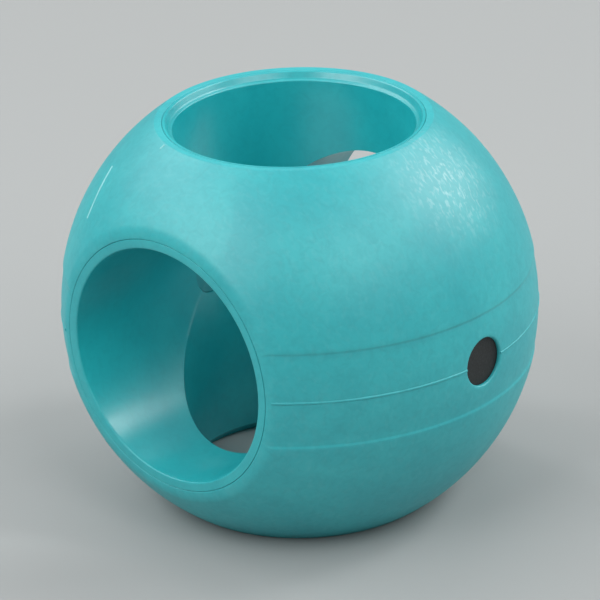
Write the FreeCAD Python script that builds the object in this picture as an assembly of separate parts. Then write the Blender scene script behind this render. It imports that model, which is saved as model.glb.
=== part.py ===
"""Hollow laundry ball with two crossing through bores.

Two moulded half shells close over a one-piece cross duct. In each of the two closed
caps a narrow cup, pinned to the duct wall, holds a soft pad and two ferrite slugs
whose end shows through a small hole in the skin.

Frame: origin at the centre of the ball, +Z up along one bore, +Y along the other,
+X through the two small holes. Every length is in millimetres.
"""
import FreeCAD, Part
import math
import os

V = FreeCAD.Vector

# Skin
BALL_RADIUS = 35.0
SKIN = 1.4
MOUTH_FACE = 28.7            # distance of each flat mouth face from the centre
BELT_HALF_HEIGHT = 6.9
BELT_DEPTH = 0.15
POLE_HOLE_RADIUS = 3.55
POLE_LIP = 0.5               # skin left over the magnet's rim

# Cross duct
BORE_RADIUS = 17.5
DUCT_WALL = 1.4
UPRIGHT_LEAD_IN = 1.0        # chamfer of the duct's inner edge at the upright mouths
LEVEL_LEAD_IN = 0.2          # chamfer of the duct's inner edge at the level mouths
OUTER_CHAMFER = 0.15         # chamfer of the duct's outer edge at every mouth
STOP_RING_HEIGHT = 1.1       # ring behind the skin that keeps the duct from sliding out
STOP_RING_THICKNESS = 1.2
GUSSET_THICKNESS = 1.4
STUD_HOLE_RADIUS = 3.4

# Half shells
ASSEMBLY_GAP = 0.05          # clearance where two pieces are slipped together
TONGUE_HEIGHT = 1.2
TONGUE_THICKNESS = 0.6
RIB_THICKNESS = 1.2
RIB_DEPTH = 2.4

# Magnet packs
MAGNET_RADIUS = 4.2
PAD_THICKNESS = 1.2
CUP_WALL = 1.1
CUP_FLOOR = 1.2
CUP_RIM_SET_BACK = 2.0       # the cup's rim lies this far behind the magnet's end
STUD_RADIUS = 3.3
STUD_SET_BACK = 0.15         # the stud's end lies this far behind the bore wall
SOCKET_WALL = 1.2
SOCKET_OVERLAP = 2.6         # how far each shell's socket reaches over the cup's rim

# Construction
CUTTER_MARGIN = 1.0          # how far cutting shapes run past what they cut

# Derived sizes
INNER_RADIUS = BALL_RADIUS - SKIN
DUCT_RADIUS = BORE_RADIUS + DUCT_WALL
MOUTH_RADIUS = DUCT_RADIUS + ASSEMBLY_GAP
STOP_RING_RADIUS = DUCT_RADIUS + STOP_RING_HEIGHT
STOP_RING_OUTER_FACE = math.sqrt((INNER_RADIUS - ASSEMBLY_GAP) ** 2 - STOP_RING_RADIUS ** 2)
CUP_BACK = DUCT_RADIUS + ASSEMBLY_GAP
PAD_BACK = CUP_BACK + CUP_FLOOR
INNER_MAGNET_BACK = PAD_BACK + PAD_THICKNESS
CUP_INNER_RADIUS = MAGNET_RADIUS + 2 * ASSEMBLY_GAP
CUP_RADIUS = CUP_INNER_RADIUS + CUP_WALL
POCKET_CEILING = math.sqrt((BALL_RADIUS - BELT_DEPTH) ** 2 - CUP_INNER_RADIUS ** 2) - POLE_LIP
MAGNET_FRONT = POCKET_CEILING - ASSEMBLY_GAP
OUTER_MAGNET_BACK = (INNER_MAGNET_BACK + MAGNET_FRONT) / 2
CUP_RIM = MAGNET_FRONT - CUP_RIM_SET_BACK
SOCKET_RADIUS = CUP_RADIUS + ASSEMBLY_GAP + SOCKET_WALL

X_AXIS = V(1, 0, 0)
Y_AXIS = V(0, 1, 0)
Z_AXIS = V(0, 0, 1)
MOUTH_AXES = (Z_AXIS, -Z_AXIS, Y_AXIS, -Y_AXIS)


def rod(radius, start, end, axis):
    """Cylinder on a line through the origin, between two distances along the axis."""
    return Part.makeCylinder(radius, end - start, axis * start, axis)


def block(half_x, half_y, half_z):
    """Box centred on the origin."""
    return Part.makeBox(2 * half_x, 2 * half_y, 2 * half_z, V(-half_x, -half_y, -half_z))


def slab(low, high):
    """Wide horizontal slab between two heights."""
    wide = 3 * BALL_RADIUS
    return Part.makeBox(2 * wide, 2 * wide, high - low, V(-wide, -wide, low))


def lathe(profile, axis):
    """Solid of revolution about the Y or Z axis.

    The profile lists (radius, distance along the axis) points of a closed outline.
    """
    points = [X_AXIS * radius + axis * along for radius, along in profile]
    face = Part.Face(Part.makePolygon(points + points[:1]))
    return face.revolve(V(0, 0, 0), axis, 360)


def both_bores(radius, reach):
    """Two crossing rods along Y and Z."""
    return rod(radius, -reach, reach, Z_AXIS).fuse(rod(radius, -reach, reach, Y_AXIS))


def mouth_cutters(axis, lead_in):
    """Rings that chamfer the duct's inner and outer edges at one mouth."""
    over = MOUTH_FACE + CUTTER_MARGIN
    inner_edge = [(BORE_RADIUS - CUTTER_MARGIN, MOUTH_FACE - lead_in - CUTTER_MARGIN),
                  (BORE_RADIUS + lead_in + CUTTER_MARGIN, over),
                  (BORE_RADIUS - CUTTER_MARGIN, over)]
    outer_edge = [(DUCT_RADIUS + CUTTER_MARGIN, MOUTH_FACE - OUTER_CHAMFER - CUTTER_MARGIN),
                  (DUCT_RADIUS - OUTER_CHAMFER - CUTTER_MARGIN, over),
                  (DUCT_RADIUS + CUTTER_MARGIN, over)]
    return lathe(inner_edge, axis).fuse(lathe(outer_edge, axis))


def make_gusset(side_y, side_z):
    """Thin triangular plate in one of the four corners between the stubs."""
    reach = STOP_RING_OUTER_FACE - STOP_RING_THICKNESS
    outline = [V(0, 0, 0), V(0, side_y * reach, side_z * DUCT_RADIUS),
               V(0, side_y * DUCT_RADIUS, side_z * reach)]
    plate = Part.Face(Part.makePolygon(outline + outline[:1]))
    plate.translate(X_AXIS * (-GUSSET_THICKNESS / 2))
    return plate.extrude(X_AXIS * GUSSET_THICKNESS)


def make_cross_duct():
    """Four-way duct: two equal bores that meet in a sharp crease."""
    duct = both_bores(DUCT_RADIUS, MOUTH_FACE)
    for axis in MOUTH_AXES:
        inner_face = STOP_RING_OUTER_FACE - STOP_RING_THICKNESS
        duct = duct.fuse(rod(STOP_RING_RADIUS, inner_face, STOP_RING_OUTER_FACE, axis))
    for side_y in (1, -1):
        for side_z in (1, -1):
            duct = duct.fuse(make_gusset(side_y, side_z))
    duct = duct.cut(both_bores(BORE_RADIUS, MOUTH_FACE + CUTTER_MARGIN))
    for axis in (Z_AXIS, -Z_AXIS):
        duct = duct.cut(mouth_cutters(axis, UPRIGHT_LEAD_IN))
    for axis in (Y_AXIS, -Y_AXIS):
        duct = duct.cut(mouth_cutters(axis, LEVEL_LEAD_IN))
    return duct.cut(rod(STUD_HOLE_RADIUS, -BALL_RADIUS, BALL_RADIUS, X_AXIS)).removeSplitter()


def make_full_shell():
    """Skin, belt, stiffening ribs and cup sockets before the shell is parted at the equator."""
    skin = Part.makeSphere(BALL_RADIUS)
    skin = skin.cut(Part.makeSphere(INNER_RADIUS))
    belt_skin = Part.makeSphere(BALL_RADIUS + CUTTER_MARGIN)
    belt_skin = belt_skin.cut(Part.makeSphere(BALL_RADIUS - BELT_DEPTH))
    skin = skin.cut(belt_skin.common(slab(-BELT_HALF_HEIGHT, BELT_HALF_HEIGHT)))

    inside = Part.makeSphere(INNER_RADIUS + SKIN / 2)
    rib_core = Part.makeSphere(INNER_RADIUS - RIB_DEPTH)
    ribs = block(BALL_RADIUS, RIB_THICKNESS / 2, BALL_RADIUS)
    ribs = ribs.common(inside).cut(rib_core)
    skin = skin.fuse(ribs)
    for axis in (X_AXIS, -X_AXIS):
        socket = rod(SOCKET_RADIUS, CUP_RIM - SOCKET_OVERLAP, BALL_RADIUS, axis)
        skin = skin.fuse(socket.common(inside))
        skin = skin.cut(rod(CUP_RADIUS + ASSEMBLY_GAP, 0, CUP_RIM + ASSEMBLY_GAP, axis))
        skin = skin.cut(rod(CUP_INNER_RADIUS, 0, POCKET_CEILING, axis))

    skin = skin.common(block(BALL_RADIUS + CUTTER_MARGIN, MOUTH_FACE, MOUTH_FACE))
    skin = skin.cut(both_bores(MOUTH_RADIUS, BALL_RADIUS))
    for axis in MOUTH_AXES:
        ring_room = STOP_RING_RADIUS + ASSEMBLY_GAP
        skin = skin.cut(rod(ring_room, 0, STOP_RING_OUTER_FACE + ASSEMBLY_GAP, axis))
    through = BALL_RADIUS + CUTTER_MARGIN
    return skin.cut(rod(POLE_HOLE_RADIUS, -through, through, X_AXIS))


def tongue_zone(extra):
    """Band just under the equator, in the inner part of the skin, grown by a clearance."""
    outer = Part.makeSphere(INNER_RADIUS + TONGUE_THICKNESS + extra)
    band = outer.cut(Part.makeSphere(INNER_RADIUS - RIB_DEPTH - CUTTER_MARGIN))
    return band.common(slab(-TONGUE_HEIGHT - extra, 0))


def largest_solid(shape):
    """The biggest solid of a shape."""
    return max(shape.Solids, key=lambda solid: solid.Volume)


def make_half_shells():
    """Part the shell at the equator, with a tongue on the upper half in a rebate in the lower."""
    shell = make_full_shell()
    upper = shell.common(slab(0, 2 * BALL_RADIUS))
    upper = upper.fuse(shell.common(tongue_zone(0))).removeSplitter()
    lower = shell.common(slab(-2 * BALL_RADIUS, 0)).cut(tongue_zone(ASSEMBLY_GAP))
    return largest_solid(upper), largest_solid(lower)


def make_magnet_carrier(axis):
    """Cup with a stud that fills the hole in the duct wall."""
    cup = rod(CUP_RADIUS, CUP_BACK, CUP_RIM, axis)
    cup = cup.cut(rod(CUP_INNER_RADIUS, PAD_BACK, CUP_RIM + CUTTER_MARGIN, axis))
    stud = rod(STUD_RADIUS, BORE_RADIUS - CUTTER_MARGIN, CUP_BACK + CUP_FLOOR / 2, axis)
    stud = stud.cut(both_bores(BORE_RADIUS + STUD_SET_BACK, MOUTH_FACE))
    return cup.fuse(stud).removeSplitter()


def make_magnet_pack(axis):
    """Pad and two magnets of one cap, from the duct outwards."""
    return {
        "pad": rod(MAGNET_RADIUS, PAD_BACK, INNER_MAGNET_BACK, axis),
        "inner_magnet": rod(MAGNET_RADIUS, INNER_MAGNET_BACK, OUTER_MAGNET_BACK, axis),
        "outer_magnet": rod(MAGNET_RADIUS, OUTER_MAGNET_BACK, MAGNET_FRONT, axis),
    }


def make_parts():
    """Every sub-part by node name."""
    upper, lower = make_half_shells()
    parts = {"upper_shell": upper, "lower_shell": lower, "cross_duct": make_cross_duct()}
    for side, axis in (("left", -X_AXIS), ("right", X_AXIS)):
        parts[side + "_magnet_carrier"] = make_magnet_carrier(axis)
        for name, shape in make_magnet_pack(axis).items():
            parts[side + "_" + name] = shape
    return parts


os.makedirs("parts", exist_ok=True)
for node, shape in make_parts().items():
    shape.exportStep("parts/" + node + ".step")
    box = shape.BoundBox
    print(node, "solids", len(shape.Solids), "valid", shape.isValid(), "volume", round(shape.Volume, 1),
          "size", round(box.XLength, 2), round(box.YLength, 2), round(box.ZLength, 2))
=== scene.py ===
"""Looks of a hollow moulded laundry ball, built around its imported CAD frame.

The ball has two half shells, a one-piece duct with two crossing bores, and a magnet
pack in each closed cap. Everything is in metres, with the origin where the bores'
axes cross, +Z along the upright bore and +Y along the level one.
"""
import logging
import math
from dataclasses import dataclass, field
from enum import Enum
from typing import Any, Dict, List, Optional, Sequence, Tuple

import bmesh
import bpy
from mathutils import Matrix, Vector, noise

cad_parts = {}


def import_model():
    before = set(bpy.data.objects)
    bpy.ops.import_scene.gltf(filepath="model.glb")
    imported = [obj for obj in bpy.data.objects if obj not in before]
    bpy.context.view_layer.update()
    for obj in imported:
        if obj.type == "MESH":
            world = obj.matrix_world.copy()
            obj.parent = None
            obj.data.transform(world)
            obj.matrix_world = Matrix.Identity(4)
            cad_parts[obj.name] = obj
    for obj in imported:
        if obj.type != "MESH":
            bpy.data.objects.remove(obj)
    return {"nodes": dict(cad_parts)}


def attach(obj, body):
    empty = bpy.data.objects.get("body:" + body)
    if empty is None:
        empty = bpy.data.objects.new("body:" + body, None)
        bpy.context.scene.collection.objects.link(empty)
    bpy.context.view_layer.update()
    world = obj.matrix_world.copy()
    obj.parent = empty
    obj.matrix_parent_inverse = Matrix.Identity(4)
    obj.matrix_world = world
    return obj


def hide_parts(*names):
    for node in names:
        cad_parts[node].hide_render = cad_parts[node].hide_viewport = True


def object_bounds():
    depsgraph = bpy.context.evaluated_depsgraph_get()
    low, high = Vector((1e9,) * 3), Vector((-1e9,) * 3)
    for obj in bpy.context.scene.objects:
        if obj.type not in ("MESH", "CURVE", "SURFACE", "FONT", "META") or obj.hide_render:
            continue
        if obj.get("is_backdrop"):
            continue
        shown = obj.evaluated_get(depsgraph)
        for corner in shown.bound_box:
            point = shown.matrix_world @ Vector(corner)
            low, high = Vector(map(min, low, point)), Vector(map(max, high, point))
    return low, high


LOG = logging.getLogger("laundry_ball")
MM = 0.001
BODY = "root"

Colour = Tuple[float, float, float, float]
Row = List[Vector]
Patch = List[Row]


# ------------------------------------------------------------------ small helpers
def linear(hex_colour: str) -> Colour:
    """Turn an sRGB hex colour into linear RGBA.

    Args:
        hex_colour: Six hex digits after a leading #.

    Returns:
        Linear red, green and blue, and an alpha of 1.
    """
    digits = hex_colour.lstrip("#")
    channels = [int(digits[start:start + 2], 16) / 255 for start in (0, 2, 4)]
    lifted = [c / 12.92 if c <= 0.04045 else ((c + 0.055) / 1.055) ** 2.4 for c in channels]
    return (lifted[0], lifted[1], lifted[2], 1.0)


def smooth(low: float, high: float, value: float) -> float:
    """Smooth step from 0 at low to 1 at high."""
    share = min(1.0, max(0.0, (value - low) / (high - low)))
    return share * share * (3 - 2 * share)


def spread(low: float, high: float, steps: int) -> List[float]:
    """Evenly spaced values from low to high, both included."""
    return [low + (high - low) * step / steps for step in range(steps + 1)]


def new_object(name: str, mesh: bpy.types.Mesh) -> bpy.types.Object:
    """Put a mesh in the scene as an object at the origin.

    Args:
        name: The object's name.
        mesh: Its mesh.

    Returns:
        The new object.
    """
    made = bpy.data.objects.new(name, mesh)
    bpy.context.scene.collection.objects.link(made)
    return made


def settle_shading(mesh: bpy.types.Mesh, sharp_degrees: float) -> None:
    """Smooth a mesh's shading, but keep the edges that turn by more than an angle.

    Args:
        mesh: The mesh to shade.
        sharp_degrees: The largest angle between faces that still shades smooth.
    """
    mesh.shade_smooth()
    mesh.set_sharp_from_angle(angle=math.radians(sharp_degrees))
    mesh.validate()
    mesh.update()


def add_node(tree: bpy.types.NodeTree, kind: str, settings: Optional[Dict[str, Any]] = None,
             feeds: Optional[Dict[Any, Any]] = None) -> bpy.types.Node:
    """Add a node with its settings and links.

    Args:
        tree: The shader or geometry tree.
        kind: The node's type name.
        settings: Values for the node's own properties.
        feeds: For each input, by name or index, a socket to link from or a value to set.

    Returns:
        The new node.
    """
    made = tree.nodes.new(kind)
    for key, value in (settings or {}).items():
        setattr(made, key, value)
    for key, value in (feeds or {}).items():
        if isinstance(value, bpy.types.NodeSocket):
            tree.links.new(value, made.inputs[key])
        else:
            made.inputs[key].default_value = value
    return made


def new_material(name: str) -> Tuple[bpy.types.Material, bpy.types.NodeTree]:
    """A new material and its emptied node tree.

    Args:
        name: The material's name.

    Returns:
        The material, and its tree without nodes.
    """
    material = bpy.data.materials.new(name)
    material.use_nodes = True
    material.node_tree.nodes.clear()
    return material, material.node_tree


# ------------------------------------------------------------------------ finishes
@dataclass(frozen=True)
class MouldedResin:
    """Soft polypropylene blend, injection moulded against a lightly blasted tool.

    It gives an even turquoise with cloudy flow marks, a mottled orange peel and a broad
    satin sheen. A painted highlight lies in one patch where the highlight falls: short pale
    marks and a pale haze, with a few stray pale marks elsewhere on the skin.
    """

    name: str
    base: str = "#14A4AC"
    cloud: str = "#23AFB5"
    blotch: str = "#0F8992"
    # Tint of the painted highlight patch and of the few stray pale marks
    pale_fleck_and_highlight_tint: str = "#C2E4E4"
    roughness: float = 0.50
    roughness_swing: float = 0.10
    specular_ior: float = 1.49
    specular_level: float = 0.85
    peel_mm: float = 1.1
    peel_depth_mm: float = 0.017
    cloud_mm: float = 14.0
    blotch_mm: float = 1.3
    blotch_strength: float = 0.26
    # The painted highlight patch: its centre, reach and strength, and its pale painted sheen haze
    highlight_patch_centre_mm: Tuple[float, float, float] = (24.8, 4.8, 24.3)
    highlight_patch_reach_mm: float = 12.0
    highlight_patch_strength: float = 0.50
    painted_sheen_haze: float = 0.22
    fleck_mm: float = 1.5
    stray_strength: float = 0.03

    def shared(self) -> bpy.types.Material:
        """The material, made on its first use only."""
        return bpy.data.materials.get(self.name) or self.build()

    def build(self) -> bpy.types.Material:
        """Make the procedural material."""
        material, tree = new_material(self.name)
        place = add_node(tree, "ShaderNodeTexCoord").outputs["Object"]
        clouds = add_node(tree, "ShaderNodeTexNoise", feeds={
            "Vector": place, "Scale": 1 / (self.cloud_mm * MM), "Detail": 3.0,
            "Roughness": 0.55, "Distortion": 0.6}).outputs["Fac"]
        blotches = add_node(tree, "ShaderNodeTexNoise", feeds={
            "Vector": place, "Scale": 1 / (self.blotch_mm * MM), "Detail": 3.0,
            "Roughness": 0.6, "Distortion": 0.8}).outputs["Fac"]
        cloud_share = add_node(tree, "ShaderNodeMapRange", feeds={
            "Value": clouds, "From Min": 0.35, "From Max": 0.65}).outputs["Result"]
        clouded = add_node(tree, "ShaderNodeMix", {"data_type": "RGBA"}, {
            "Factor": cloud_share, 6: linear(self.base), 7: linear(self.cloud)}).outputs[2]
        blotch_share = add_node(tree, "ShaderNodeMapRange", feeds={
            "Value": blotches, "From Min": 0.42, "From Max": 0.70,
            "To Max": self.blotch_strength}).outputs["Result"]
        blotched = add_node(tree, "ShaderNodeMix", {"data_type": "RGBA"}, {
            "Factor": blotch_share, 6: clouded, 7: linear(self.blotch)}).outputs[2]
        # Painted highlight: pale marks and haze mixed into the colour where the highlight falls
        flecks_and_painted_highlight = self.fleck_and_highlight_mask(tree, place)
        coloured = add_node(tree, "ShaderNodeMix", {"data_type": "RGBA"}, {
            "Factor": flecks_and_painted_highlight, 6: blotched, 7: linear(self.pale_fleck_and_highlight_tint)}).outputs[2]
        rough = add_node(tree, "ShaderNodeMath", {"operation": "MULTIPLY_ADD"}, {
            0: blotches, 1: self.roughness_swing, 2: self.roughness - self.roughness_swing / 2}).outputs[0]
        peel = add_node(tree, "ShaderNodeTexNoise", feeds={
            "Vector": place, "Scale": 1 / (self.peel_mm * MM), "Detail": 2.0,
            "Roughness": 0.5}).outputs["Fac"]
        raised = add_node(tree, "ShaderNodeMath", {"operation": "MULTIPLY_ADD"}, {
            0: flecks_and_painted_highlight, 1: 0.8, 2: peel}).outputs[0]
        bump = add_node(tree, "ShaderNodeBump", feeds={
            "Height": raised, "Strength": 1.0, "Distance": self.peel_depth_mm * MM})
        shader = add_node(tree, "ShaderNodeBsdfPrincipled", feeds={
            "Base Color": coloured, "Roughness": rough, "IOR": self.specular_ior,
            "Specular IOR Level": self.specular_level, "Normal": bump.outputs["Normal"]})
        add_node(tree, "ShaderNodeOutputMaterial", feeds={"Surface": shader.outputs["BSDF"]})
        return material

    def fleck_and_highlight_mask(self, tree: bpy.types.NodeTree, place: bpy.types.NodeSocket) -> bpy.types.NodeSocket:
        """Painted highlight mask: short pale marks and a pale haze, dense in the highlight patch, stray
        marks elsewhere.

        Args:
            tree: The material's tree.
            place: The object coordinates.

        Returns:
            A socket that is 0 on clean resin and up to the highlight patch's strength on a pale mark.
        """
        stretched = add_node(tree, "ShaderNodeMapping", feeds={
            "Vector": place, "Rotation": (0.5, 0.3, 0.9), "Scale": (1.0, 2.6, 1.4)})
        grain = add_node(tree, "ShaderNodeTexNoise", feeds={
            "Vector": stretched.outputs[0], "Scale": 1 / (self.fleck_mm * MM), "Detail": 3.0,
            "Distortion": 0.5}).outputs["Fac"]
        # The low end of this range is a pale painted sheen haze over the whole patch
        flecks_and_painted_highlight = add_node(tree, "ShaderNodeMapRange", feeds={
            "Value": grain, "From Min": 0.50, "From Max": 0.68, "To Min": self.painted_sheen_haze}).outputs["Result"]
        # Strongest at the painted highlight patch's centre, down to the stray strength elsewhere
        away = add_node(tree, "ShaderNodeVectorMath", {"operation": "DISTANCE"}, {
            0: place, 1: [length * MM for length in self.highlight_patch_centre_mm]}).outputs["Value"]
        highlight_patch_share = add_node(tree, "ShaderNodeMapRange", {"interpolation_type": "SMOOTHSTEP"}, {
            "Value": away, "From Min": 0.0, "From Max": self.highlight_patch_reach_mm * MM,
            "To Min": self.highlight_patch_strength, "To Max": self.stray_strength}).outputs["Result"]
        return add_node(tree, "ShaderNodeMath", {"operation": "MULTIPLY"}, {
            0: flecks_and_painted_highlight, 1: highlight_patch_share}).outputs[0]


@dataclass(frozen=True)
class SinteredFerrite:
    """Hard ferrite, pressed and sintered: charcoal, matt, with fine pores and a grey dust."""

    name: str
    base: str = "#15191A"
    dust: str = "#2B3132"
    roughness: float = 0.62
    roughness_swing: float = 0.2
    grain_mm: float = 0.35
    grain_depth_mm: float = 0.02

    def build(self) -> bpy.types.Material:
        """Make the procedural material."""
        material, tree = new_material(self.name)
        place = add_node(tree, "ShaderNodeTexCoord").outputs["Object"]
        grains = add_node(tree, "ShaderNodeTexNoise", feeds={
            "Vector": place, "Scale": 1 / (self.grain_mm * MM), "Detail": 4.0,
            "Roughness": 0.7}).outputs["Fac"]
        share = add_node(tree, "ShaderNodeMapRange", feeds={
            "Value": grains, "From Min": 0.45, "From Max": 0.75}).outputs["Result"]
        coloured = add_node(tree, "ShaderNodeMix", {"data_type": "RGBA"}, {
            "Factor": share, 6: linear(self.base), 7: linear(self.dust)}).outputs[2]
        rough = add_node(tree, "ShaderNodeMath", {"operation": "MULTIPLY_ADD"}, {
            0: grains, 1: self.roughness_swing,
            2: self.roughness - self.roughness_swing / 2}).outputs[0]
        bump = add_node(tree, "ShaderNodeBump", feeds={
            "Height": grains, "Distance": self.grain_depth_mm * MM})
        shader = add_node(tree, "ShaderNodeBsdfPrincipled", feeds={
            "Base Color": coloured, "Roughness": rough, "Normal": bump.outputs["Normal"]})
        add_node(tree, "ShaderNodeOutputMaterial", feeds={"Surface": shader.outputs["BSDF"]})
        return material


@dataclass(frozen=True)
class CellFoam:
    """Closed-cell polyethylene foam, die cut: black, dull, with small round cells."""

    name: str
    base: str = "#17191A"
    wall: str = "#2B2F30"
    roughness: float = 0.85
    cell_mm: float = 0.6
    cell_depth_mm: float = 0.08

    def build(self) -> bpy.types.Material:
        """Make the procedural material."""
        material, tree = new_material(self.name)
        place = add_node(tree, "ShaderNodeTexCoord").outputs["Object"]
        cells = add_node(tree, "ShaderNodeTexVoronoi", feeds={
            "Vector": place, "Scale": 1 / (self.cell_mm * MM)}).outputs["Distance"]
        coloured = add_node(tree, "ShaderNodeMix", {"data_type": "RGBA"}, {
            "Factor": cells, 6: linear(self.base), 7: linear(self.wall)}).outputs[2]
        bump = add_node(tree, "ShaderNodeBump", feeds={
            "Height": cells, "Distance": self.cell_depth_mm * MM})
        shader = add_node(tree, "ShaderNodeBsdfPrincipled", feeds={
            "Base Color": coloured, "Roughness": self.roughness, "Normal": bump.outputs["Normal"]})
        add_node(tree, "ShaderNodeOutputMaterial", feeds={"Surface": shader.outputs["BSDF"]})
        return material


# The skin's blasted polypropylene, the duct's smoother one, and the carriers' greyer one
SKIN_RESIN = MouldedResin("moulded_skin_resin")
DUCT_RESIN = MouldedResin("moulded_duct_resin", roughness=0.33, roughness_swing=0.06,
                          peel_depth_mm=0.008, blotch_strength=0.2, highlight_patch_strength=0.0,
                          stray_strength=0.0)
CARRIER_RESIN = MouldedResin("moulded_carrier_resin", base="#2A969E", cloud="#2F9CA3",
                             peel_depth_mm=0.010, highlight_patch_strength=0.0, stray_strength=0.0)
# Paler resin on the witness line and the gate mark: a painted highlight that keeps them light where their
# sides lie in shade
PAINTED_HIGHLIGHT_LINE_RESIN = MouldedResin("painted_highlight_line_resin", base="#74C5CA", cloud="#86CCD0",
                              blotch="#45B2B9", peel_depth_mm=0.008, highlight_patch_strength=0.0,
                              stray_strength=0.0)
MAGNET_FERRITE = SinteredFerrite("sintered_ferrite")
PAD_FOAM = CellFoam("closed_cell_foam")


# ------------------------------------------------------------------------- shells
class Half(Enum):
    """Which half shell, by the sign of its height."""

    UPPER = 1
    LOWER = -1


@dataclass(frozen=True)
class SkinSurface:
    """One sphere-like face of the skin, with its mouth edge and hole edge, in millimetres."""

    radius: float
    belt_depth: float
    level_plane: float
    upright_plane: float
    hole_radius: float
    belt_height: float
    step_width: float = 0.45

    @property
    def belt_sine(self) -> float:
        """Sine of the latitude where the belt ends."""
        return self.belt_height / self.radius

    @property
    def step_sine(self) -> float:
        """Width of the belt's step as a sine of latitude."""
        return self.step_width / self.radius

    def radius_at(self, sine: float) -> float:
        """The skin's radius at a sine of latitude."""
        rise = smooth(self.belt_sine, self.belt_sine + self.step_sine, abs(sine))
        return self.radius - self.belt_depth * (1 - rise)

    def point(self, azimuth: float, sine: float) -> Vector:
        """The point of the skin at an azimuth and a sine of latitude."""
        flat = math.sqrt(1 - sine * sine)
        ray = Vector((flat * math.cos(azimuth), flat * math.sin(azimuth), sine))
        return ray * self.radius_at(sine)

    def mouth_azimuth(self, sine: float) -> float:
        """Azimuth where a line of latitude meets the level mouth's edge."""
        share = self.level_plane / (self.radius_at(sine) * math.sqrt(1 - sine * sine))
        return math.asin(min(1.0, share))


# Share of the way in and depth of each row across the skin's edge at the two kinds of mouth. The
# level mouths' edge rolls over, and the upright mouths' edge is flat.
LEVEL_EDGE = ((0.20, 0.32), (0.40, 0.19), (0.60, 0.095), (0.78, 0.04), (0.90, 0.02), (0.955, 0.02),
              (1.0, 0.07))
UPRIGHT_EDGE = ((0.31, 0.0), (0.68, 0.0), (0.935, 0.0), (1.0, 0.06))


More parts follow.
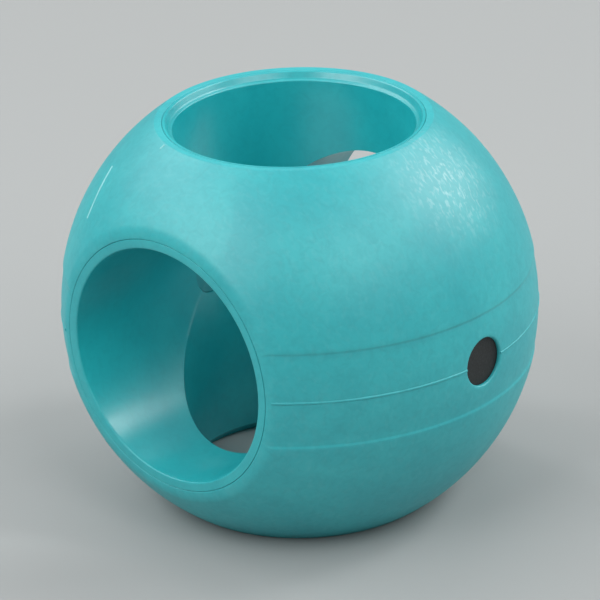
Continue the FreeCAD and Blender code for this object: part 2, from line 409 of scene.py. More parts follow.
@dataclass
class HalfShell:
    """A half of the skin, as one closed mesh worked out octant by octant.

    In each octant the grid follows the small hole, the belt, the two mouths and the
    meridians, so every edge of the shell is a line of the mesh.
    """

    name: str
    half: Half
    ball_radius: float = 35.0
    skin: float = 1.4
    mouth_face: float = 28.699
    mouth_radius: float = 18.95
    level_roll: float = 0.50
    belt_height: float = 6.9
    belt_depth: float = 0.19
    hole_radius: float = 3.55
    hole_round: float = 0.32
    pocket_radius: float = 4.3
    pocket_ceiling: float = 34.08
    wave_height: float = 0.035
    wave_length: float = 9.0
    weld_reach: float = 0.004
    shortest_edge: float = 0.0005
    sharp_degrees: float = 28.0
    corner_steps: int = 9
    ring_steps: int = 8
    belt_steps: int = 44
    arch_steps: int = 30
    dome_steps: int = 44
    finish: MouldedResin = field(default=SKIN_RESIN)

    def outer_surface(self) -> SkinSurface:
        """The skin's outer face."""
        return SkinSurface(self.ball_radius, self.belt_depth, self.mouth_face - self.level_roll,
                           self.mouth_face, self.hole_radius + self.hole_round, self.belt_height)

    def inner_surface(self) -> SkinSurface:
        """The skin's inner face, which has no belt."""
        radius = self.ball_radius - self.skin
        plane = math.sqrt(radius ** 2 - self.mouth_radius ** 2)
        return SkinSurface(radius, 0.0, plane, plane, self.pocket_radius, self.belt_height)

    def hole_patch(self, face: SkinSurface) -> Patch:
        """Rows from the small hole's edge out to the square whose side is the belt's height.

        Args:
            face: The skin's outer or inner face.

        Returns:
            Rows from the hole outwards, each from the XY plane round to the XZ plane.
        """
        rows = []
        edge = face.hole_radius / face.radius_at(0.0)
        half_square = face.belt_sine
        turns = spread(0.0, math.pi / 4, self.corner_steps)
        turns += [math.pi / 2 - turn for turn in reversed(turns[:-1])]
        for share in spread(0.0, 1.0, self.ring_steps):
            row = []
            for turn in turns:
                reach = half_square / max(math.cos(turn), math.sin(turn))
                length = edge + (reach - edge) * share
                side, up = length * math.cos(turn), length * math.sin(turn)
                azimuth = math.asin(side / math.sqrt(1 - up * up))
                row.append(face.point(azimuth, min(up, half_square)))
            rows.append(row)
        return rows

    def belt_columns(self, face: SkinSurface, sine: float) -> List[float]:
        """Azimuths along a line of latitude, from the hole's square to the level mouth."""
        start = math.asin(face.belt_sine / math.sqrt(1 - sine * sine))
        return spread(start, face.mouth_azimuth(sine), self.belt_steps)

    def top_columns(self, face: SkinSurface) -> List[float]:
        """Azimuths along the top of the hole's square, from the XZ plane outwards.

        Args:
            face: The skin's outer or inner face.

        Returns:
            The azimuths in radians.
        """
        flat = math.sqrt(1 - face.belt_sine ** 2)
        turns = spread(0.0, math.pi / 4, self.corner_steps)
        return [math.asin(face.belt_sine * math.tan(turn) / flat) for turn in turns]

    def belt_patch(self, face: SkinSurface) -> Patch:
        """Rows of latitude from the seam up to the belt's edge."""
        sines = [face.belt_sine * math.tan(turn) for turn in spread(0.0, math.pi / 4, self.corner_steps)]
        return [[face.point(azimuth, sine) for azimuth in self.belt_columns(face, sine)]
                for sine in sines]

    def step_sines(self, face: SkinSurface) -> List[float]:
        """Sines of latitude across the belt's step."""
        return [face.belt_sine + face.step_sine * share for share in (0.0, 0.25, 0.5, 0.75, 1.0)]

    def step_patch(self, face: SkinSurface) -> Patch:
        """Rows across the belt's small step, from the XZ plane to the level mouth."""
        return [[face.point(azimuth, sine)
                 for azimuth in self.top_columns(face)[:-1] + self.belt_columns(face, sine)]
                for sine in self.step_sines(face)]

    def dome_patch(self, face: SkinSurface) -> Patch:
        """Rows from the belt and the level mouth's arch up to the upright mouth.

        Args:
            face: The skin's outer or inner face.

        Returns:
            Rows from the foot to the upright mouth.
        """
        foot_sine = self.step_sines(face)[-1]
        feet = [(azimuth, foot_sine)
                for azimuth in self.top_columns(face)[:-1] + self.belt_columns(face, foot_sine)]
        arch_radius = math.sqrt(face.radius ** 2 - face.level_plane ** 2)
        first = math.asin(foot_sine * face.radius / arch_radius)
        for turn in spread(first, math.pi / 2, self.arch_steps)[1:]:
            azimuth = math.atan2(face.level_plane, arch_radius * math.cos(turn))
            feet.append((azimuth, arch_radius * math.sin(turn) / face.radius))
        top_angle = math.asin(face.upright_plane / face.radius)
        rows = []
        for share in spread(0.0, 1.0, self.dome_steps):
            row = []
            for azimuth, sine in feet:
                foot_angle = math.asin(sine)
                angle = foot_angle + (top_angle - foot_angle) * share
                row.append(face.point(azimuth, math.sin(angle)))
            rows.append(row)
        return rows

    def mouth_rings(self, edge: Row, inner_edge: Row, axis: int,
                    levels: Sequence[Tuple[float, float]]) -> Patch:
        """Rows from the outer skin over the mouth's edge and down its wall.

        Args:
            edge: The outer skin's points along the mouth.
            inner_edge: The inner skin's points along the mouth.
            axis: Which coordinate the mouth's axis is.
            levels: Share of the way in and depth of each row.

        Returns:
            Rows from the outer edge to the inner edge.
        """
        rows = [edge]
        for share, depth in levels:
            row = []
            for point in edge:
                spoke = point.copy()
                spoke[axis] = 0.0
                radius = spoke.length + (self.mouth_radius - spoke.length) * share
                placed = spoke.normalized() * radius
                placed[axis] = self.mouth_face - depth
                row.append(placed)
            rows.append(row)
        return rows + [inner_edge]

    def hole_rings(self, edge: Row, inner_edge: Row) -> Patch:
        """Rows from the outer skin over the hole's rounded edge to the inner skin.

        Args:
            edge: The outer skin's points along the hole.
            inner_edge: The inner skin's points along the hole.

        Returns:
            Rows from the outer edge to the inner edge.
        """
        rows = [edge]
        for turn in spread(0.0, math.pi / 2, 5)[1:]:
            radius = self.hole_radius + self.hole_round * (1 - math.sin(turn))
            row = []
            for point in edge:
                spoke = Vector((0.0, point.y, point.z)).normalized() * radius
                spoke.x = point.x - self.hole_round * (1 - math.cos(turn))
                row.append(spoke)
            rows.append(row)
        for radius in (self.hole_radius, self.pocket_radius):
            row = []
            for point in edge:
                spoke = Vector((0.0, point.y, point.z)).normalized() * radius
                spoke.x = self.pocket_ceiling
                row.append(spoke)
            rows.append(row)
        return rows + [inner_edge]

    def waved(self, point: Vector) -> Vector:
        """Move an outer point by the slow sink and swell of moulded resin.

        The wave dies out towards the mouths' edges, so that their flats stay flat.

        Args:
            point: A point of the outer skin.

        Returns:
            The point, moved inwards by the wave.
        """
        clear = min(self.mouth_face - abs(point.y), self.mouth_face - abs(point.z))
        fade = smooth(0.2, 3.0, clear)
        swell = noise.noise(point / self.wave_length) + 0.4 * noise.noise(point * 2.6 / self.wave_length)
        inset = abs(swell) * self.wave_height * fade
        return point - point.normalized() * inset

    def octant(self) -> List[Tuple[Patch, bool]]:
        """Every patch of the octant where all three coordinates are positive.

        Returns:
            Each patch, and whether its faces point against the row and column order.
        """
        outer, inner = self.outer_surface(), self.inner_surface()
        faces = {}
        for key, face in (("outer", outer), ("inner", inner)):
            faces[key] = {"hole": self.hole_patch(face), "belt": self.belt_patch(face),
                          "step": self.step_patch(face), "dome": self.dome_patch(face)}
        patches = [(patch, False) for patch in faces["outer"].values()]
        patches += [(patch, True) for patch in faces["inner"].values()]

        side_edges, top_edges, hole_edges, seams = {}, {}, {}, {}
        for key, face in faces.items():
            arch = face["dome"][0][-self.arch_steps:]
            side_edges[key] = ([row[-1] for row in face["belt"]]
                               + [row[-1] for row in face["step"][1:]] + arch)
            top_edges[key] = face["dome"][-1]
            hole_edges[key] = face["hole"][0]
            seams[key] = [row[0] for row in face["hole"]] + face["belt"][0][1:]
        side = self.mouth_rings(side_edges["outer"], side_edges["inner"], 1, LEVEL_EDGE)
        top = self.mouth_rings(top_edges["outer"], top_edges["inner"], 2, UPRIGHT_EDGE)
        hole = self.hole_rings(hole_edges["outer"], hole_edges["inner"])
        patches += [(side, False), (top, False), (hole, False), ([seams["outer"], seams["inner"]], False)]
        mouth_end = [row[0] for row in side]
        hole_end = [row[0] for row in hole]
        patches += [([mouth_end], False), ([hole_end], False)]
        return patches

    def build(self) -> bpy.types.Object:
        """Make the half shell's mesh and object."""
        mould = bmesh.new()
        outer_limit = self.ball_radius - self.skin / 2
        for patch, _ in self.octant():
            for side_x in (1, -1):
                for side_y in (1, -1):
                    sign = Vector((side_x, side_y, self.half.value))
                    self.add_patch(mould, patch, sign, outer_limit)
        bmesh.ops.remove_doubles(mould, verts=mould.verts, dist=self.weld_reach * MM)
        bmesh.ops.dissolve_degenerate(mould, dist=self.shortest_edge * MM, edges=mould.edges)
        bmesh.ops.recalc_face_normals(mould, faces=mould.faces)
        mesh = bpy.data.meshes.new(self.name)
        mould.to_mesh(mesh)
        mould.free()
        mesh.materials.append(self.finish.shared())
        settle_shading(mesh, self.sharp_degrees)
        return new_object(self.name, mesh)

    def add_patch(self, mould: bmesh.types.BMesh, patch: Patch, sign: Vector, outer_limit: float) -> None:
        """Add one patch in one octant; a patch of one row is a single closing face.

        Args:
            mould: The mesh in the making.
            patch: The patch's rows in the first octant.
            sign: The octant, as the sign of each coordinate.
            outer_limit: Points further out than this belong to the outer skin.
        """
        placed = []
        for row in patch:
            points = []
            for point in row:
                here = point * sign
                if here.length > outer_limit:
                    here = self.waved(here)
                points.append(mould.verts.new(here * MM))
            placed.append(points)
        if len(placed) == 1:
            mould.faces.new(placed[0])
            return
        for low, high in zip(placed, placed[1:]):
            for here in range(len(low) - 1):
                mould.faces.new((low[here], low[here + 1], high[here + 1], high[here]))


# ------------------------------------------------------------------- geometry trees
def new_geometry_tree(name: str, inputs: Sequence[Tuple[str, str]]) -> bpy.types.GeometryNodeTree:
    """Start a geometry tree with a geometry output and named inputs.

    Args:
        name: The tree's name.
        inputs: The name and socket type of each input after the geometry.

    Returns:
        The tree, still without nodes.
    """
    tree = bpy.data.node_groups.new(name, "GeometryNodeTree")
    tree.interface.new_socket("Geometry", in_out="INPUT", socket_type="NodeSocketGeometry")
    for label, kind in inputs:
        tree.interface.new_socket(label, in_out="INPUT", socket_type=kind)
    tree.interface.new_socket("Geometry", in_out="OUTPUT", socket_type="NodeSocketGeometry")
    return tree


def grow(name: str, seed_mesh: bpy.types.Mesh, tree: bpy.types.GeometryNodeTree,
         values: Dict[str, Any]) -> bpy.types.Object:
    """Run a geometry tree on a mesh and keep the result as a plain mesh object.

    Args:
        name: The new object's name.
        seed_mesh: The mesh that the tree starts from.
        tree: The geometry tree.
        values: A value for each of the tree's named inputs.

    Returns:
        An object at the origin with no modifier on it.
    """
    holder = new_object(name + "_seed", seed_mesh)
    modifier = holder.modifiers.new("grow", "NODES")
    modifier.node_group = tree
    for item in tree.interface.items_tree:
        if item.item_type == "SOCKET" and item.in_out == "INPUT" and item.name in values:
            modifier[item.identifier] = values[item.name]
    bpy.context.view_layer.update()
    ready = holder.evaluated_get(bpy.context.evaluated_depsgraph_get())
    mesh = bpy.data.meshes.new_from_object(ready)
    bpy.data.objects.remove(holder)
    mesh.name = name
    return new_object(name, mesh)


def maths(tree: bpy.types.NodeTree, operation: str, *terms: Any) -> bpy.types.NodeSocket:
    """The result of a maths node on up to three sockets or numbers."""
    return add_node(tree, "ShaderNodeMath", {"operation": operation}, dict(enumerate(terms))).outputs[0]


@dataclass(frozen=True)
class Corner:
    """A corner of a turned profile: radius, height, and how far its rounding reaches."""

    radius: float
    height: float
    rounding: float

    def softened(self, before: Vector, after: Vector, steps: int = 5) -> List[Vector]:
        """Points of the rounded corner.

        Args:
            before: The corner before this one.
            after: The corner after it.
            steps: How many segments the rounding gets.

        Returns:
            Points from the first tangent point to the last.
        """
        here = Vector((self.radius, self.height))
        start = here + (before - here).normalized() * self.rounding
        end = here + (after - here).normalized() * self.rounding
        return [start * (1 - share) ** 2 + here * 2 * share * (1 - share) + end * share ** 2
                for share in spread(0.0, 1.0, steps)]


# Lips of the duct at the two kinds of mouth, from the bore outwards
UPRIGHT_LIP = (Corner(17.5, 27.55, 0.16), Corner(17.96, 27.72, 0.24), Corner(18.45, 28.7, 0.20),
               Corner(18.9, 28.7, 0.04))
LEVEL_LIP = (Corner(17.5, 28.4, 0.10), Corner(17.56, 28.6, 0.08), Corner(17.72, 28.7, 0.10),
             Corner(18.9, 28.7, 0.08))


@dataclass
class CrossDuct:
    """The four-way duct, grown by a geometry tree from one quarter of a stub.

    A profile of the wall is turned through a quarter circle. Its foot is then lifted
    onto the crease where the two bores meet, or onto the stud hole's edge, and the
    quarter is repeated round the stub. The upright and the level stubs have their own
    profiles, and each is repeated at both ends of its bore.
    """

    name: str = "cross_duct_moulding"
    node: str = "cross_duct"
    bore_radius: float = 17.5
    wall: float = 1.4
    stop_ring_radius: float = 20.0
    stop_ring_low: float = 25.8
    stop_ring_high: float = 26.85
    hole_radius: float = 3.4
    fold_height: float = 24.0
    corner_columns: int = 8
    open_columns: int = 40
    wall_rows: int = 26
    weld_reach: float = 0.002
    sharp_degrees: float = 35.0
    finish: MouldedResin = field(default=DUCT_RESIN)

    def profile(self, lip: Sequence[Corner]) -> List[Vector]:
        """The wall's section: up the bore, over the lip and down the outside.

        Args:
            lip: The lip's corners from the bore outwards.

        Returns:
            The section's points, radius first and height second.
        """
        outer = self.bore_radius + self.wall
        ends = [Vector((self.bore_radius, self.fold_height)), Vector((outer, self.stop_ring_high))]
        marks = [ends[0]] + [Vector((corner.radius, corner.height)) for corner in lip] + [ends[1]]
        points = [Vector((self.bore_radius, height))
                  for height in spread(0.0, self.fold_height, self.wall_rows)]
        for place, corner in enumerate(lip):
            points += corner.softened(marks[place], marks[place + 2])
        points += [ends[1], Vector((self.stop_ring_radius, self.stop_ring_high)),
                   Vector((self.stop_ring_radius, self.stop_ring_low)), Vector((outer, self.stop_ring_low))]
        points += [Vector((outer, height)) for height in spread(self.fold_height, 0.0, self.wall_rows)]
        return points

    def seed(self) -> bpy.types.Mesh:
        """Both profiles as loose points, the radius in X and the height in Z."""
        mesh = bpy.data.meshes.new("duct_wall_profiles")
        points = self.profile(UPRIGHT_LIP) + self.profile(LEVEL_LIP)
        mesh.from_pydata([(point.x * MM, 0.0, point.y * MM) for point in points], [], [])
        return mesh

    def tree(self) -> bpy.types.GeometryNodeTree:
        """The geometry tree that turns, folds and repeats the profiles."""
        tree = new_geometry_tree("grow_cross_duct", (
            ("Hole Radius", "NodeSocketFloat"), ("Fold Height", "NodeSocketFloat"),
            ("Corner Angle", "NodeSocketFloat"), ("Rows", "NodeSocketInt"),
            ("Corner Columns", "NodeSocketInt"), ("Open Columns", "NodeSocketInt"),
            ("Material", "NodeSocketMaterial")))
        given = add_node(tree, "NodeGroupInput").outputs
        whole = add_node(tree, "GeometryNodeJoinGeometry")
        for first_row, first_turn in ((0.0, 0.0), (given["Rows"], math.pi / 2)):
            stub = self.mirrored(tree, self.quarter(tree, given, first_row))
            tree.links.new(self.at_both_ends(tree, stub, first_turn), whole.inputs[0])
        real = add_node(tree, "GeometryNodeRealizeInstances", feeds={0: whole.outputs[0]})
        welded = add_node(tree, "GeometryNodeMergeByDistance", feeds={
            "Geometry": real.outputs[0], "Distance": self.weld_reach * MM})
        dressed = add_node(tree, "GeometryNodeSetMaterial", feeds={
            "Geometry": welded.outputs[0], "Material": given["Material"]})
        add_node(tree, "NodeGroupOutput", feeds={0: dressed.outputs[0]})
        return tree

    def quarter(self, tree: bpy.types.GeometryNodeTree, given: Any, first_row: Any) -> bpy.types.NodeSocket:
        """Turn one profile through a quarter circle and fold its foot.

        Args:
            tree: The geometry tree.
            given: The tree's inputs.
            first_row: Index of the profile's first point in the seed mesh.

        Returns:
            The quarter's geometry.
        """
        columns = maths(tree, "ADD", given["Corner Columns"], given["Open Columns"])
        column_count = maths(tree, "ADD", columns, 1.0)
        row_count = maths(tree, "ADD", given["Rows"], 1.0)
        sheet = add_node(tree, "GeometryNodeMeshGrid", feeds={
            "Vertices X": row_count, "Vertices Y": column_count})
        index = add_node(tree, "GeometryNodeInputIndex").outputs[0]
        column = maths(tree, "MODULO", index, column_count)
        row = maths(tree, "FLOOR", maths(tree, "DIVIDE", index, column_count))
        last_row = maths(tree, "COMPARE", row, given["Rows"], 0.1)
        profile_row = maths(tree, "MULTIPLY", row, maths(tree, "SUBTRACT", 1.0, last_row))
        sample = add_node(tree, "GeometryNodeSampleIndex", {"data_type": "FLOAT_VECTOR"}, {
            "Geometry": given["Geometry"],
            "Value": add_node(tree, "GeometryNodeInputPosition").outputs[0],
            "Index": maths(tree, "ADD", profile_row, first_row)}).outputs[0]
        section = add_node(tree, "ShaderNodeSeparateXYZ", feeds={0: sample}).outputs
        corner_share = maths(tree, "MINIMUM", maths(tree, "DIVIDE", column, given["Corner Columns"]), 1.0)
        open_share = maths(tree, "MAXIMUM", maths(tree, "DIVIDE", maths(
            tree, "SUBTRACT", column, given["Corner Columns"]), given["Open Columns"]), 0.0)
        open_angle = maths(tree, "SUBTRACT", math.pi / 2, given["Corner Angle"])
        angle = maths(tree, "ADD", maths(tree, "MULTIPLY", corner_share, given["Corner Angle"]),
                      maths(tree, "MULTIPLY", open_share, open_angle))
        across = maths(tree, "MULTIPLY", section["X"], maths(tree, "SINE", angle))
        out = maths(tree, "MULTIPLY", section["X"], maths(tree, "COSINE", angle))
        square = maths(tree, "SUBTRACT", maths(tree, "POWER", given["Hole Radius"], 2.0),
                       maths(tree, "POWER", across, 2.0))
        hole_edge = maths(tree, "SQRT", maths(tree, "MAXIMUM", square, 0.0))
        foot = maths(tree, "MAXIMUM", across, hole_edge)
        share = maths(tree, "MINIMUM", maths(tree, "DIVIDE", section["Z"], given["Fold Height"]), 1.0)
        height = maths(tree, "ADD", section["Z"], maths(
            tree, "MULTIPLY", foot, maths(tree, "SUBTRACT", 1.0, share)))
        place = add_node(tree, "ShaderNodeCombineXYZ", feeds={0: out, 1: across, 2: height}).outputs[0]
        folded = add_node(tree, "GeometryNodeSetPosition", feeds={
            "Geometry": sheet.outputs["Mesh"], "Position": place}).outputs[0]

        face_column = maths(tree, "MODULO", index, columns)
        face_row = maths(tree, "FLOOR", maths(tree, "DIVIDE", index, columns))
        closing_row = maths(tree, "COMPARE", face_row, maths(tree, "SUBTRACT", given["Rows"], 1.0), 0.1)
        past_corner = maths(tree, "GREATER_THAN", face_column, maths(
            tree, "SUBTRACT", given["Corner Columns"], 0.5))
        closing = maths(tree, "MULTIPLY", closing_row, past_corner)
        return add_node(tree, "GeometryNodeDeleteGeometry", {"domain": "FACE"}, {
            "Geometry": folded, "Selection": closing}).outputs[0]

    def mirrored(self, tree: bpy.types.GeometryNodeTree, stub: bpy.types.NodeSocket) -> bpy.types.NodeSocket:
        """Mirror a quarter in X and then in Y, with its faces kept outward.

        Args:
            tree: The geometry tree.
            stub: The quarter's geometry.

        Returns:
            The whole stub's geometry.
        """
        for scale in ((-1, 1, 1), (1, -1, 1)):
            reflected = add_node(tree, "GeometryNodeTransform", feeds={"Geometry": stub, "Scale": scale})
            flipped = add_node(tree, "GeometryNodeFlipFaces", feeds={"Mesh": reflected.outputs[0]})
            both = add_node(tree, "GeometryNodeJoinGeometry")
            tree.links.new(flipped.outputs[0], both.inputs[0])
            tree.links.new(stub, both.inputs[0])
            stub = both.outputs[0]
        return stub

    def at_both_ends(self, tree: bpy.types.GeometryNodeTree, stub: bpy.types.NodeSocket,
                     first_turn: float) -> bpy.types.NodeSocket:
        """Put a stub at both ends of a bore, the first turned by an angle about X.

        Args:
            tree: The geometry tree.
            stub: The stub's geometry.
            first_turn: The first end's turn in radians.

        Returns:
            The instances of the stub.
        """
        ends = add_node(tree, "GeometryNodeMeshLine", feeds={"Count": 2, "Offset": (0.0, 0.0, 0.0)})
        index = add_node(tree, "GeometryNodeInputIndex").outputs[0]
        turn = maths(tree, "MULTIPLY_ADD", index, math.pi, first_turn)
        turned = add_node(tree, "ShaderNodeCombineXYZ", feeds={0: turn}).outputs[0]
        return add_node(tree, "GeometryNodeInstanceOnPoints", feeds={
            "Points": ends.outputs["Mesh"], "Instance": stub, "Rotation": turned}).outputs[0]

    def build(self) -> bpy.types.Object:
        """Grow the duct."""
        seed = self.seed()
        duct = grow(self.name, seed, self.tree(), {
            "Hole Radius": self.hole_radius * MM, "Fold Height": self.fold_height * MM,
            "Corner Angle": math.asin(self.hole_radius / math.sqrt(2) / self.bore_radius),
            "Rows": len(seed.vertices) // 2, "Corner Columns": self.corner_columns,
            "Open Columns": self.open_columns, "Material": self.finish.build()})
        settle_shading(duct.data, self.sharp_degrees)
        return duct


@dataclass
class MouldLine:
    """A thin raised line that the mould leaves on the skin: seam flash, a witness line or a gate mark.

    One arc is swept with a small round section that is partly sunk in the skin. It is
    repeated by turns about Z, mirrored in step, then turned and moved into place. A
    noise makes the bead's height uneven.
    """

    name: str
    arc_radius: float
    start: float
    end: float
    bead_radius: float
    sunk: float
    copies: int = 1
    turn: Tuple[float, float, float] = (0.0, 0.0, 0.0)
    shift: Tuple[float, float, float] = (0.0, 0.0, 0.0)
    raggedness: float = 0.12
    noise_length: float = 2.2
    reach: float = 34.655
    steps: int = 220
    section_points: int = 12
    sharp_degrees: float = 60.0
    finish: MouldedResin = field(default=SKIN_RESIN)

    def tree(self) -> bpy.types.GeometryNodeTree:
        """The geometry tree that sweeps, repeats, places and roughens the bead."""
        tree = new_geometry_tree("grow_" + self.name, (
            ("Arc Radius", "NodeSocketFloat"), ("Bead Radius", "NodeSocketFloat"),
            ("Start Angle", "NodeSocketFloat"), ("End Angle", "NodeSocketFloat"),
            ("Copies", "NodeSocketInt"), ("Turn", "NodeSocketVector"), ("Shift", "NodeSocketVector"),
            ("Raggedness", "NodeSocketFloat"), ("Noise Length", "NodeSocketFloat"),
            ("Reach", "NodeSocketFloat"), ("Steps", "NodeSocketInt"),
            ("Material", "NodeSocketMaterial")))
        given = add_node(tree, "NodeGroupInput").outputs
        sweep = maths(tree, "SUBTRACT", given["End Angle"], given["Start Angle"])
        arc = add_node(tree, "GeometryNodeCurveArc", feeds={
            "Resolution": given["Steps"], "Radius": given["Arc Radius"],
            "Start Angle": given["Start Angle"], "Sweep Angle": sweep}).outputs[0]
        section = add_node(tree, "GeometryNodeCurvePrimitiveCircle", feeds={
            "Resolution": self.section_points, "Radius": given["Bead Radius"]}).outputs[0]
        bead = add_node(tree, "GeometryNodeCurveToMesh", feeds={
            "Curve": arc, "Profile Curve": section, "Fill Caps": True}).outputs[0]
        places = add_node(tree, "GeometryNodeMeshLine", feeds={
            "Count": given["Copies"], "Offset": (0.0, 0.0, 0.0)})
        index = add_node(tree, "GeometryNodeInputIndex").outputs[0]
        half_turns = maths(tree, "MULTIPLY", maths(tree, "FLOOR", maths(
            tree, "DIVIDE", index, 2.0)), math.pi)
        back = maths(tree, "MULTIPLY", maths(tree, "MODULO", index, 2.0), maths(
            tree, "ADD", given["Start Angle"], given["End Angle"]))
        turn = add_node(tree, "ShaderNodeCombineXYZ", feeds={
            2: maths(tree, "SUBTRACT", half_turns, back)}).outputs[0]
        beads = add_node(tree, "GeometryNodeInstanceOnPoints", feeds={
            "Points": places.outputs["Mesh"], "Instance": bead, "Rotation": turn}).outputs[0]
        real = add_node(tree, "GeometryNodeRealizeInstances", feeds={0: beads}).outputs[0]
        placed = add_node(tree, "GeometryNodeTransform", feeds={
            "Geometry": real, "Rotation": given["Turn"], "Translation": given["Shift"]}).outputs[0]
        here = add_node(tree, "GeometryNodeInputPosition").outputs[0]
        ragged = add_node(tree, "ShaderNodeTexNoise", feeds={
            "Vector": here, "Scale": maths(tree, "DIVIDE", 1.0, given["Noise Length"]),
            "Detail": 3.0, "Roughness": 0.7}).outputs["Fac"]
        sink = maths(tree, "MULTIPLY", maths(tree, "SUBTRACT", ragged, 0.75), given["Raggedness"])
        outward = add_node(tree, "ShaderNodeVectorMath", {"operation": "NORMALIZE"}, {0: here}).outputs[0]
        offset = add_node(tree, "ShaderNodeVectorMath", {"operation": "SCALE"}, {
            0: outward, "Scale": sink}).outputs[0]
        moved = add_node(tree, "ShaderNodeVectorMath", feeds={0: here, 1: offset}).outputs[0]
        parted = add_node(tree, "ShaderNodeSeparateXYZ", feeds={0: moved}).outputs
        trimmed = add_node(tree, "ShaderNodeClamp", feeds={
            "Value": parted["X"], "Min": maths(tree, "MULTIPLY", given["Reach"], -1.0),
            "Max": given["Reach"]}).outputs[0]
        place = add_node(tree, "ShaderNodeCombineXYZ", feeds={
            0: trimmed, 1: parted["Y"], 2: parted["Z"]}).outputs[0]
        rough = add_node(tree, "GeometryNodeSetPosition", feeds={
            "Geometry": placed, "Position": place}).outputs[0]
        dressed = add_node(tree, "GeometryNodeSetMaterial", feeds={
            "Geometry": rough, "Material": given["Material"]})
        add_node(tree, "NodeGroupOutput", feeds={0: dressed.outputs[0]})
        return tree

    def build(self) -> bpy.types.Object:
        """Grow the line."""
        line = grow(self.name, bpy.data.meshes.new(self.name + "_start"), self.tree(), {
            "Arc Radius": (self.arc_radius - self.sunk) * MM, "Bead Radius": self.bead_radius * MM,
            "Start Angle": math.radians(self.start), "End Angle": math.radians(self.end),
            "Copies": self.copies, "Turn": [math.radians(angle) for angle in self.turn],
            "Shift": [length * MM for length in self.shift],
            "Raggedness": self.raggedness * MM, "Noise Length": self.noise_length * MM,
            "Reach": self.reach * MM, "Steps": self.steps,
            "Material": self.finish.shared()})
        settle_shading(line.data, self.sharp_degrees)
        return line


MOULD_LINES = (
    MouldLine("seam_flash", arc_radius=34.83, start=6.1, end=55.0, bead_radius=0.25, sunk=0.12,
              copies=4, raggedness=0.20),
    # The witness line and the gate mark take the paler resin, a painted highlight
    MouldLine("witness_line", arc_radius=30.19, start=220.0, end=236.0, bead_radius=0.20, sunk=0.07,
              turn=(0.0, 90.0, 0.0), shift=(-17.7, 0.0, 0.0), raggedness=0.16, steps=90,
              finish=PAINTED_HIGHLIGHT_LINE_RESIN),
    MouldLine("gate_mark", arc_radius=35.0, start=53.3, end=54.7, bead_radius=0.22, sunk=0.08,
              turn=(90.0, 0.0, -112.8), raggedness=0.05, steps=12, finish=PAINTED_HIGHLIGHT_LINE_RESIN),
)


# ----------------------------------------------------------------------- magnet packs
@dataclass
class MagnetPack:
    """The carrier, pad and two magnets in one cap: CAD nodes that only need their finishes."""

    side: str
    carrier: bpy.types.Material
    ferrite: bpy.types.Material
    foam: bpy.types.Material

    def dress(self, nodes: Dict[str, bpy.types.Object]) -> List[str]:
        """Give each node its material.

        Args:
            nodes: The frame's nodes by name.

        Returns:
            The names of the nodes that were dressed.
        """
        wanted = {"magnet_carrier": self.carrier, "pad": self.foam,
                  "inner_magnet": self.ferrite, "outer_magnet": self.ferrite}
        for part, material in wanted.items():
            mesh = nodes[f"{self.side}_{part}"].data
            mesh.materials.clear()
            mesh.materials.append(material)
        return [f"{self.side}_{part}" for part in wanted]


# ---------------------------------------------------------------------------- studio
def direction(azimuth: float, elevation: float) -> Vector:
    """Unit vector away from the ball; azimuth 0 is toward -Y and grows toward +X."""
    turn, rise = math.radians(azimuth), math.radians(elevation)
    return Vector((math.sin(turn) * math.cos(rise), -math.cos(turn) * math.cos(rise), math.sin(rise)))


@dataclass(frozen=True)
class SoftBox:
    """A square area light aimed at the ball, placed by its turn from the camera and its rise."""

    name: str
    turn: float
    rise: float
    size: float
    watts: float
    distance: float = 1.0
    colour: str = "#FFFFFF"

    def build(self, camera_azimuth: float) -> None:
        """Hang the light and point it at the ball.

        Args:
            camera_azimuth: The camera's azimuth in degrees.
        """
        lamp = bpy.data.lights.new(self.name, "AREA")
        lamp.size = self.size
        lamp.energy = self.watts
        lamp.color = linear(self.colour)[:3]
        hung = bpy.data.objects.new(self.name, lamp)
        hung.location = direction(camera_azimuth + self.turn, self.rise) * self.distance
        hung.rotation_euler = (-hung.location).to_track_quat("-Z", "Y").to_euler()
        bpy.context.scene.collection.objects.link(hung)


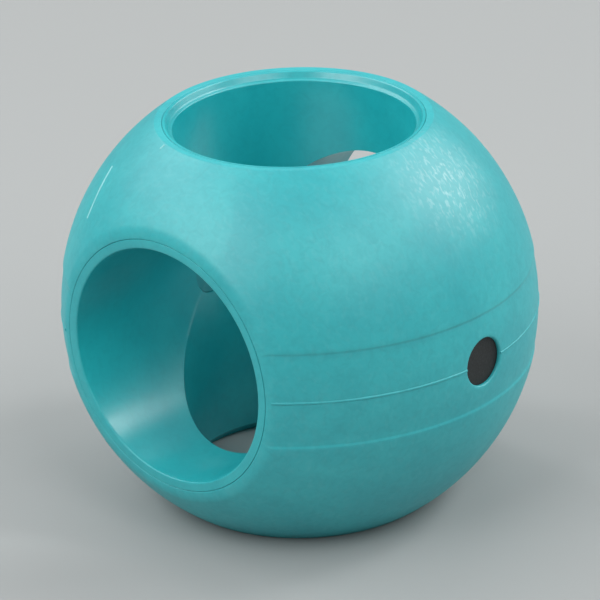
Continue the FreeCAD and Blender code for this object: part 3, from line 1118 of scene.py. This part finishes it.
@dataclass
class Studio:
    """Pale floor, soft boxes and the camera."""

    floor_height: float
    ball_radius: float = 0.035
    azimuth: float = 42.3
    elevation: float = 24.3
    roll: float = -1.95
    distance: float = 0.567
    fill: float = 0.80
    floor_reach: float = 6.0
    floor_colour: str = "#A0A3A3"
    floor_roughness: float = 0.6
    surround: float = 0.16
    lights: Tuple[SoftBox, ...] = (
        SoftBox("key_soft_box", -50.0, 41.0, 0.6, 5.0),
        SoftBox("left_soft_box", -92.0, 42.0, 0.5, 2.2),
        SoftBox("back_left_soft_box", -131.0, 40.0, 0.6, 3.2),
        SoftBox("right_soft_box", 101.0, 49.0, 0.22, 2.0),
        SoftBox("low_right_soft_box", 92.0, 34.0, 0.4, 2.2),
        SoftBox("front_right_soft_box", 36.0, 42.0, 0.6, 3.5),
        SoftBox("back_right_soft_box", 122.0, 28.0, 0.5, 2.6),
        SoftBox("back_soft_box", 180.0, 58.0, 0.8, 2.2),
    )

    def build_floor(self) -> None:
        """A wide pale sheet under the ball."""
        mesh = bpy.data.meshes.new("floor")
        reach = self.floor_reach
        corners = [(-reach, -reach), (reach, -reach), (reach, reach), (-reach, reach)]
        mesh.from_pydata([(x, y, self.floor_height) for x, y in corners], [], [(0, 1, 2, 3)])
        material, tree = new_material("pale_floor")
        shader = add_node(tree, "ShaderNodeBsdfPrincipled", feeds={
            "Base Color": linear(self.floor_colour), "Roughness": self.floor_roughness})
        add_node(tree, "ShaderNodeOutputMaterial", feeds={"Surface": shader.outputs["BSDF"]})
        mesh.materials.append(material)
        floor = new_object("floor", mesh)
        floor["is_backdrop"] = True

    def build_world(self) -> None:
        """An even pale surround."""
        world = bpy.data.worlds.new("studio_surround")
        world.use_nodes = True
        sky = world.node_tree.nodes["Background"].inputs
        sky["Color"].default_value = linear("#FFFFFF")
        sky["Strength"].default_value = self.surround
        bpy.context.scene.world = world

    def build_camera(self) -> None:
        """A long lens at the ball's three-quarter view."""
        half_ball = math.asin(self.ball_radius / self.distance)
        data = bpy.data.cameras.new("camera")
        data.sensor_width = 36.0
        data.lens = data.sensor_width / 2 * self.fill / math.tan(half_ball)
        data.clip_start, data.clip_end = 0.05, 50.0
        camera = bpy.data.objects.new("camera", data)
        back = direction(self.azimuth, self.elevation)
        camera.rotation_mode = "QUATERNION"
        camera.location = back * self.distance
        roll = Matrix.Rotation(math.radians(self.roll), 3, "Z").to_quaternion()
        camera.rotation_quaternion = (-back).to_track_quat("-Z", "Y") @ roll
        bpy.context.scene.collection.objects.link(camera)
        bpy.context.scene.camera = camera

    def build(self) -> None:
        """Set the whole studio up."""
        self.build_floor()
        self.build_world()
        for light in self.lights:
            light.build(self.azimuth)
        self.build_camera()
        bpy.context.scene.view_settings.view_transform = "Standard"


# ------------------------------------------------------------------------------ main
def stand_in(piece: bpy.types.Object, slot: str, *nodes: str) -> None:
    """Let a piece ride on the ball's body and stand for CAD nodes.

    Args:
        piece: The visual piece.
        slot: A material slot's name; not used.
        nodes: The CAD nodes that it replaces.
    """
    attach(piece, BODY)
    if nodes:
        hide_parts(*nodes)
    LOG.info("%s: %d faces", piece.name, len(piece.data.polygons))


def main() -> None:
    """Build the ball's pieces round the frame, then the studio."""
    logging.basicConfig(level=logging.INFO, format="%(name)s %(message)s")
    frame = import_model()
    cad_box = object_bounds()

    for half, node in ((Half.UPPER, "upper_shell"), (Half.LOWER, "lower_shell")):
        shell = HalfShell(node + "_skin", half)
        stand_in(shell.build(), "shell_plastic", node)
    duct = CrossDuct()
    stand_in(duct.build(), "duct_plastic", duct.node)
    for line in MOULD_LINES:
        stand_in(line.build(), "shell_plastic")

    carrier, ferrite, foam = CARRIER_RESIN.build(), MAGNET_FERRITE.build(), PAD_FOAM.build()
    for side in ("left", "right"):
        for dressed in MagnetPack(side, carrier, ferrite, foam).dress(frame["nodes"]):
            LOG.info("%s: dressed", dressed)

    Studio(cad_box[0].z).build()


if __name__ == "__main__":
    main()
